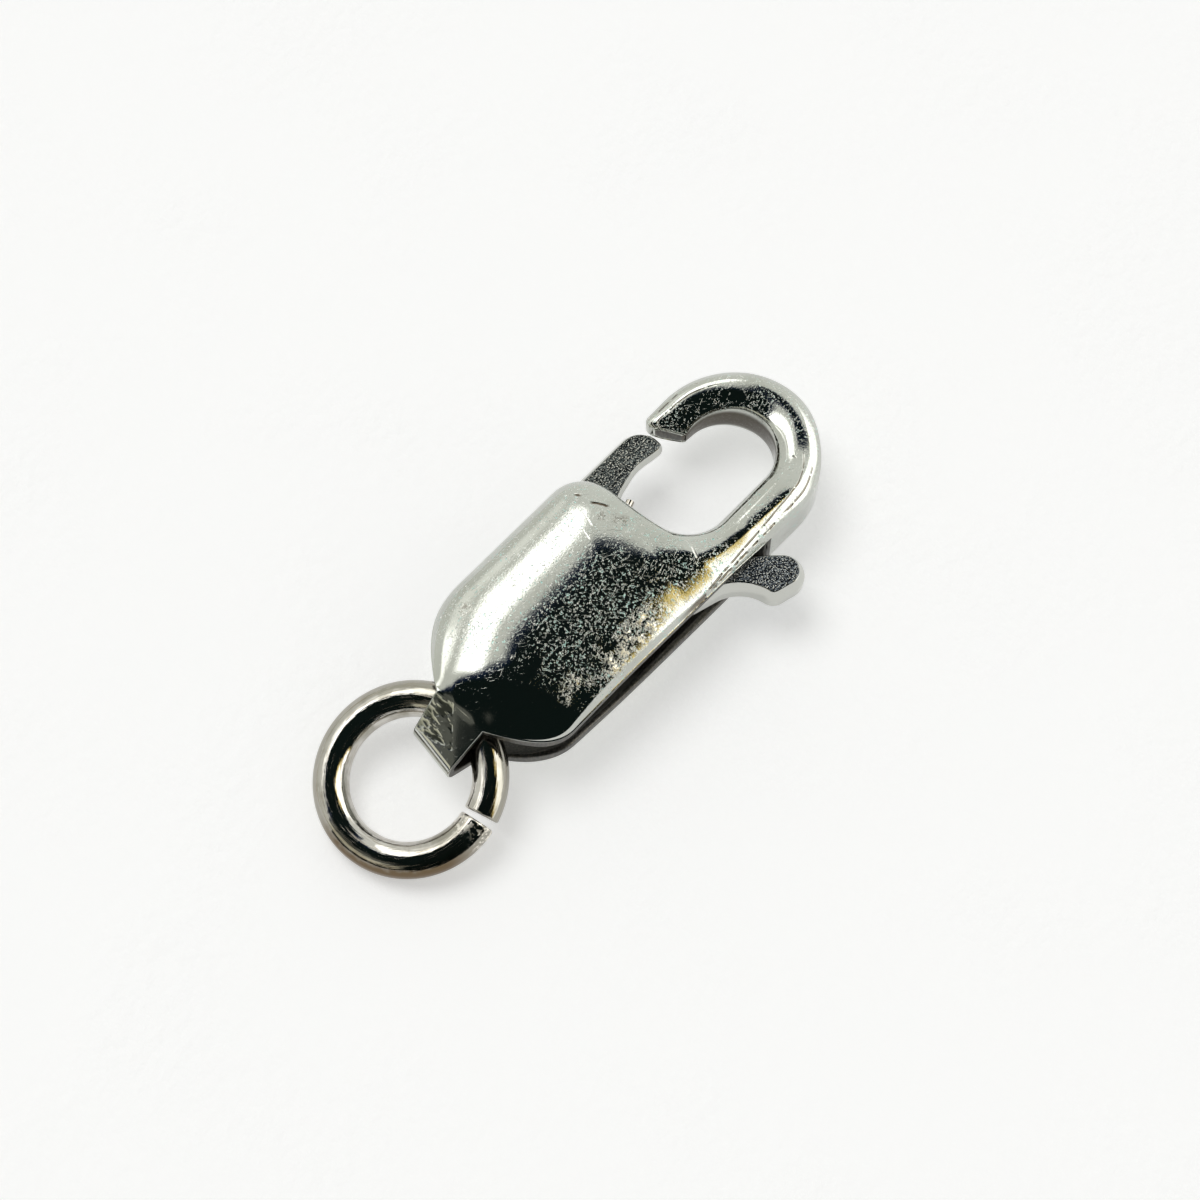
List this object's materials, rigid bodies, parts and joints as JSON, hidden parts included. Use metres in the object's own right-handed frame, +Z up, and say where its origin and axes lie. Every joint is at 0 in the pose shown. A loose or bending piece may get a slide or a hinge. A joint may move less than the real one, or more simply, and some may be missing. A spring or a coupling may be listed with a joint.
{
  "type": "lobster clasp",
  "caption": "Stamped lobster clasp: hollow domed shells ending in a hook, a sprung side lever that shuts the hook's eye, and a split jump ring through the folded bail.",
  "frame": {"origin": "middle of the underside of the whole clasp's box, on the surface that it lies on", "axes": "+X along the clasp from the jump ring to the hook, +Z up out of that surface, thumb tab on the -Y side"},
  "size_m": [0.0165, 0.0064, 0.003],
  "materials": {
    "shells": "polished dark nickel plate over stamped brass sheet, faint orange peel",
    "lever": "dark nickel plate, rough on the flat faces and polished round the rim",
    "pin": "plain drawn pin, dark nickel plate",
    "spring": "bright drawn spring wire",
    "ring": "polished dark nickel plate over round wire"
  },
  "bodies": {
    "frame": {"clasp_body": "shells", "pivot_pin": "pin"},
    "lever": {"lever": "lever", "spring": "spring"},
    "ring": {"jump_ring": "ring"}
  },
  "joints": [
    {"name": "lever_swing", "type": "hinge", "parent": "frame", "child": "lever", "pos_m": [0.00065, -0.0004, 0.0015], "axis": [0, 0, -1], "range_deg": [0, 25], "stiffness_Nm_per_rad": 0.006},
    {"name": "ring_swing", "type": "hinge", "parent": "frame", "child": "ring", "pos_m": [-0.0039, 0.00068, 0.0015], "axis": [0, 1, 0], "range_deg": [-3, 32]}
  ]
}
